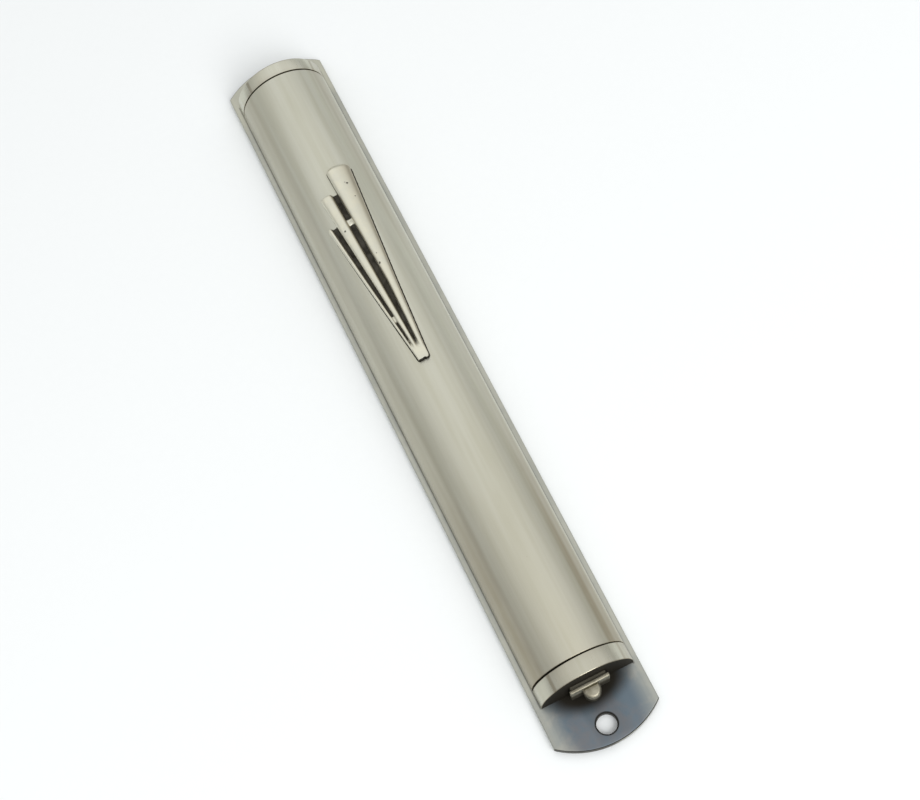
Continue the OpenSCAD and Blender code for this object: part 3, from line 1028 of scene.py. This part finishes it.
class CASE_OT_emblem(PieceOperator, bpy.types.Operator):
    """Cast ornament of three prongs, modelled flat and then laid on the shell"""

    bl_idname = "mezuzah_case.emblem"
    bl_label = "Ornament"

    voxel = 0.12 * MM
    sunk = 0.4 * MM
    web_h = 0.18 * MM
    squareness = 0.7
    skirt_h = 0.14 * MM
    peg_shares = (0.45, 0.85)
    peg_r = 0.7 * MM

    def build(self):
        bm = bmesh.new()
        for prong in PRONGS:
            self.add_prong(bm, prong)
        self.add_skirt(bm)
        self.add_webs(bm)
        self.add_foot(bm)
        bmesh.ops.recalc_face_normals(bm, faces=bm.faces)
        emblem = to_object(bm, "emblem_piece")
        remesh = emblem.modifiers.new("Fuse", "REMESH")
        remesh.mode = "VOXEL"
        remesh.voxel_size = self.voxel
        soften = emblem.modifiers.new("Soften", "SMOOTH")
        soften.factor = 0.5
        soften.iterations = 4
        bake_modifiers(emblem)
        self.lay_on_shell(emblem)
        finish_piece(emblem, "Cast Ornament", "case", "emblem_metal", "emblem",
                     crease=radians(60))

    def y_at(self, below):
        return EMBLEM_HIGH.y - below * MM

    def add_prong(self, bm, prong):
        """Bar with a squared-off oval section that follows the prong's stations."""
        section = bmesh.ops.create_circle(
            bm, cap_ends=True, segments=40, radius=1, matrix=Matrix.Rotation(radians(90), 4, "X")
        )["verts"]
        for vert in section:
            for axis in (0, 2):
                side = 1 if vert.co[axis] > 0 else -1
                vert.co[axis] = side * abs(vert.co[axis]) ** self.squareness
        face = next(f for f in section[0].link_faces if len(f.verts) == len(section))
        verts, now = section, (0, -1, 1, 1 / MM)
        first_rim = list(face.edges)
        for step, (below, left, right, height) in enumerate(prong.stations):
            if step:
                pulled = bmesh.ops.extrude_face_region(bm, geom=[face], use_keep_orig=step == 1)["geom"]
                verts = verts_of(pulled)
                face = next(g for g in pulled if isinstance(g, bmesh.types.BMFace))
            half, was_half = (right - left) * MM / 2, (now[2] - now[1]) / 2
            middle = (now[1] + now[2]) / 2
            for vert in verts:
                vert.co.x = (vert.co.x - middle) / was_half * half + (left + right) / 2 * MM
                vert.co.y = self.y_at(below)
                vert.co.z *= height / (now[3] * MM) * MM
            now = (below, left * MM, right * MM, height)
        bevel_edges(bm, first_rim, prong.tip_edge * MM, 5)

    def add_flat(self, bm, outline, top):
        """Flat plate with the outline, given in millimetres across and below the tallest tip."""
        verts = [bm.verts.new((x * MM, self.y_at(below), -self.sunk)) for x, below in outline]
        extrude_up(bm, bm.faces.new(verts), (0, 0, self.sunk + top))

    def add_skirt(self, bm):
        """Soldered seam along the outer sides of the ornament, a low flange that the black of the low relief
        turns into a dark line: partly the seam's own blackening, partly painted contact shade.
        """
        tall, left = PRONGS[0], PRONGS[2]
        right_out = [(tall.at(below)[1] + 0.55 - 0.005 * below, below) for below in (1.2, 20, 30, 48.8)]
        right_in = [(tall.at(below)[1] - 0.5, below) for below in (48.8, 30, 1.2)]
        left_out = [(left.at(below)[0] - 0.2, below) for below in (48.8, 16)]
        left_in = [(left.at(below)[0] + 0.2, below) for below in (16, 48.8)]
        for outline in (right_out + right_in, left_out + left_in):
            self.add_flat(bm, outline, self.skirt_h)

    def add_webs(self, bm):
        """Thin floors between the prongs, and the small bridges left by the casting."""
        for left, right in ((1, 0), (2, 1)):
            start = PRONGS[left].stations[0][0] + 0.3
            middles = [[sum(PRONGS[i].at(below)[:2]) / 2 for i in (left, right)] for below in (start, 48)]
            (a, b), (d, c) = middles
            self.add_flat(bm, [(a, start), (b, start), (c, 48), (d, 48)], self.web_h)
        for below, left, right, height in BRIDGES:
            x0, x1 = PRONGS[left].at(below)[1] - 0.3, PRONGS[right].at(below)[0] + 0.3
            y, half = self.y_at(below), 0.8 * MM
            made = block(bm, (x0 * MM, y - half, -self.sunk), (x1 * MM, y + half, height * MM))
            bevel_edges(bm, list({e for v in made for e in v.link_edges}), 0.3 * MM, 3)

    def add_foot(self, bm):
        """Foot that fills the gaps where the prongs meet and ends square."""
        end, flat_y, ramp_y = EMBLEM_LOW.y, EMBLEM_LOW.y + 2.6 * MM, EMBLEM_LOW.y + 6 * MM
        high = 0.86 * MM
        half, middle = 1.1 * MM, 0.08 * MM
        side = [bm.verts.new((middle - half, y, z)) for y, z in (
            (end, -self.sunk), (end, high), (flat_y, high), (ramp_y, 0), (ramp_y, -self.sunk))]
        face = bm.faces.new(side)
        made = set(verts_of(extrude_up(bm, face, (2 * half, 0, 0)))) | set(side)
        for vert in made:
            if vert.co.x > middle and vert.co.y < flat_y - 1 * MM:
                vert.co.y += 0.25 * MM
            vert.co.x = middle + (vert.co.x - middle) * (1 + 0.035 * (vert.co.y - end) / MM)
        edges = {e for v in made for e in v.link_edges
                 if all(w.co.y < end + 1 * MM and w.co.z > 0 for w in e.verts)}
        bevel_edges(bm, list(edges), 0.16 * MM, 3)

    def lay_on_shell(self, emblem):
        """Cuts the flat relief off just under the surface, bends it round the shell and adds the pegs."""
        bm = bmesh.new()
        bm.from_mesh(emblem.data)
        geom = list(bm.verts) + list(bm.edges) + list(bm.faces)
        cut = bmesh.ops.bisect_plane(
            bm, geom=geom, plane_co=(0, 0, -0.06 * MM), plane_no=(0, 0, -1), clear_outer=True
        )
        rim = [g for g in cut["geom_cut"] if isinstance(g, bmesh.types.BMEdge)]
        bmesh.ops.holes_fill(bm, edges=rim, sides=0)
        for vert in bm.verts:
            angle, radius = vert.co.x / SHELL_R, SHELL_R + vert.co.z
            vert.co.x, vert.co.z = radius * sin(angle), AXIS_Z + radius * cos(angle)
        long = (EMBLEM_HIGH.y - EMBLEM_LOW.y) / MM
        for share_down in self.peg_shares:
            left, right, _ = PRONGS[0].at(long * share_down)
            x = (left + right) / 2 * MM
            inside = sqrt((SHELL_R - sizes().wall) ** 2 - x**2) + AXIS_Z - 0.1 * MM
            top = sqrt(SHELL_R**2 - x**2) + AXIS_Z + 0.2 * MM
            place_at = Matrix.Translation((x, self.y_at(long * share_down), (inside + top) / 2))
            bmesh.ops.create_cone(bm, cap_ends=True, segments=32, radius1=self.peg_r, radius2=self.peg_r,
                                  depth=top - inside, matrix=place_at)
        bmesh.ops.recalc_face_normals(bm, faces=bm.faces)
        bm.to_mesh(emblem.data)
        bm.free()


class CASE_OT_scroll(PieceOperator, bpy.types.Operator):
    """Parchment rolled up in a spiral"""

    bl_idname = "mezuzah_case.scroll"
    bl_label = "Rolled Parchment"

    def build(self):
        s = sizes()
        steps = 40
        count = int(s.roll_turns * steps)
        inner, outer = s.roll_bore_r + s.sheet_t / 2, ROLL_HIGH.x - s.sheet_t / 2
        bm = bmesh.new()
        point = bm.verts.new((inner, ROLL_LOW.y, ROLL_Z))
        centre = Vector((0, ROLL_LOW.y, ROLL_Z))
        turn = Matrix.Rotation(2 * pi / steps, 3, "Y")
        edges = []
        for i in range(count):
            radius = inner + (outer - inner) * (i + 1) / count
            pulled = bmesh.ops.extrude_vert_indiv(bm, verts=[point])
            point = pulled["verts"][0]
            edges += pulled["edges"]
            away = turn @ (point.co - centre)
            point.co = centre + away.normalized() * radius
        sheet = bmesh.ops.extrude_edge_only(bm, edges=edges)["geom"]
        bmesh.ops.translate(bm, verts=verts_of(sheet), vec=(0, ROLL_HIGH.y - ROLL_LOW.y, 0))
        scroll = to_object(bm, "scroll_piece")
        thicken(scroll, s.sheet_t)
        finish_piece(scroll, "Parchment Skin", "roll", "parchment", "scroll")


class CASE_OT_scroll_wrap(PieceOperator, bpy.types.Operator):
    """Waxed wrapper round the roll, with its loose flap"""

    bl_idname = "mezuzah_case.scroll_wrap"
    bl_label = "Wrapper"

    overlap_turn = radians(395)

    def build(self):
        wall = WRAP_HIGH.x - ROLL_HIGH.x
        radius, steps = WRAP_HIGH.x - wall / 2, 96
        low = radius - wall * 0.45
        bm = bmesh.new()
        centre = Vector((0, WRAP_LOW.y, ROLL_Z))
        chain = arc_verts(bm, centre + Vector((low, 0, 0)), centre, (0, 1, 0), self.overlap_turn, steps)
        for i, vert in enumerate(chain):
            away = vert.co - centre
            vert.co = centre + away.normalized() * (low + wall * 0.62 * i / steps)
        sheet = bmesh.ops.extrude_edge_only(bm, edges=list(bm.edges))["geom"]
        bmesh.ops.translate(bm, verts=verts_of(sheet), vec=(0, WRAP_HIGH.y - WRAP_LOW.y, 0))
        wrap = to_object(bm, "scroll_wrap_piece")
        thicken(wrap, wall * 0.35)
        finish_piece(wrap, "Waxed Wrapper", "roll", "wrapper", "scroll_wrap")


# ---------------------------------------------------------------- stage

CAMERA_PLACE = (-0.0278, -0.1441, 0.3257)
CAMERA_TURN = (22.69, 5.24, -25.37)
CAMERA_LENS = 67.9
KEY_PLACE = Vector((0.15, -0.70, 0.66))
KEY_SIZE, KEY_POWER, KEY_TINT = 0.6, 5.5, (1.0, 0.99, 0.98)
TENT_TOP, TENT_HORIZON = (1.04, 1.04, 1.03), (0.50, 0.50, 0.49)
TENT_LEFT, TENT_OPENING = (0.45, 0.45, 0.45), (0.05, 0.045, 0.04)


class CASE_OT_stage(PieceOperator, bpy.types.Operator):
    """Pale floor, soft studio light and the camera"""

    bl_idname = "mezuzah_case.stage"
    bl_label = "Stage"

    def build(self):
        scene = bpy.context.scene
        bm = bmesh.new()
        bmesh.ops.create_grid(bm, x_segments=1, y_segments=1, size=3)
        floor = to_object(bm, "floor")
        floor.data.materials.append(bpy.data.materials["Pale Floor"])
        self.sky(scene)
        self.key_light(scene)
        data = bpy.data.cameras.new("Camera")
        data.lens, data.sensor_width, data.clip_start = CAMERA_LENS, 36, 0.01
        camera = bpy.data.objects.new("Camera", data)
        camera.location = CAMERA_PLACE
        camera.rotation_euler = [radians(a) for a in CAMERA_TURN]
        scene.collection.objects.link(camera)
        scene.camera = camera
        scene.view_settings.view_transform = "Standard"

    def key_light(self, scene):
        """One large lamp behind the camera, aimed at the case."""
        data = bpy.data.lights.new("Key", "AREA")
        data.shape = "RECTANGLE"
        data.size, data.size_y, data.energy, data.color = KEY_SIZE, KEY_SIZE, KEY_POWER, KEY_TINT
        lamp = bpy.data.objects.new("Key", data)
        lamp.location = KEY_PLACE
        lamp.rotation_euler = (-KEY_PLACE).to_track_quat("-Z", "Y").to_euler()
        scene.collection.objects.link(lamp)

    def sky(self, scene):
        """White tent: bright above, dimmer towards the horizon and the left, and open towards the front."""
        world = bpy.data.worlds.new("Tent")
        world.use_nodes = True
        tree = world.node_tree
        way = xyz(tree, add(tree, "TexCoord").outputs["Generated"])
        shade = mix(tree, ramp(tree, way[2], 0.0, 0.7), TENT_HORIZON, TENT_TOP)
        shade = mix(tree, times(tree, ramp(tree, way[0], -0.3, -1.0), 0.45), shade, TENT_LEFT)
        open_side = times(tree, ramp(tree, way[1], 0.0, -0.6), ramp(tree, way[2], 0.75, 0.35))
        shade = mix(tree, open_side, shade, TENT_OPENING)
        feed(tree, tree.nodes["Background"], {"Color": shade, "Strength": 1.0})
        scene.world = world


class CASE_PT_panel(bpy.types.Panel):
    """Lists the pieces of the case"""

    bl_label = "Mezuzah Case"
    bl_idname = "CASE_PT_panel"
    bl_space_type = "VIEW_3D"
    bl_region_type = "UI"
    bl_category = "Mezuzah Case"

    def draw(self, context):
        column = self.layout.column()
        for operator in OPERATORS:
            column.operator(operator.bl_idname)
        for owner in (context.scene.case_sizes, context.scene.case_colours):
            for field in owner.__annotations__:
                column.prop(owner, field)


OPERATORS = (
    CASE_OT_finishes, CASE_OT_back_plate, CASE_OT_shell_rivets, CASE_OT_body_shell, CASE_OT_top_cap,
    CASE_OT_emblem, CASE_OT_bottom_cap, CASE_OT_pull_finial, CASE_OT_scroll, CASE_OT_scroll_wrap,
    CASE_OT_stage,
)
CLASSES = (CaseSizes, CaseColours) + OPERATORS + (CASE_PT_panel,)


def register():
    for cls in CLASSES:
        bpy.utils.register_class(cls)
    bpy.types.Scene.case_sizes = bpy.props.PointerProperty(type=CaseSizes)
    bpy.types.Scene.case_colours = bpy.props.PointerProperty(type=CaseColours)


def unregister():
    del bpy.types.Scene.case_colours
    del bpy.types.Scene.case_sizes
    for cls in reversed(CLASSES):
        bpy.utils.unregister_class(cls)


def main():
    register()
    for operator in OPERATORS:
        category, name = operator.bl_idname.split(".")
        getattr(getattr(bpy.ops, category), name)()


if __name__ == "__main__":
    main()
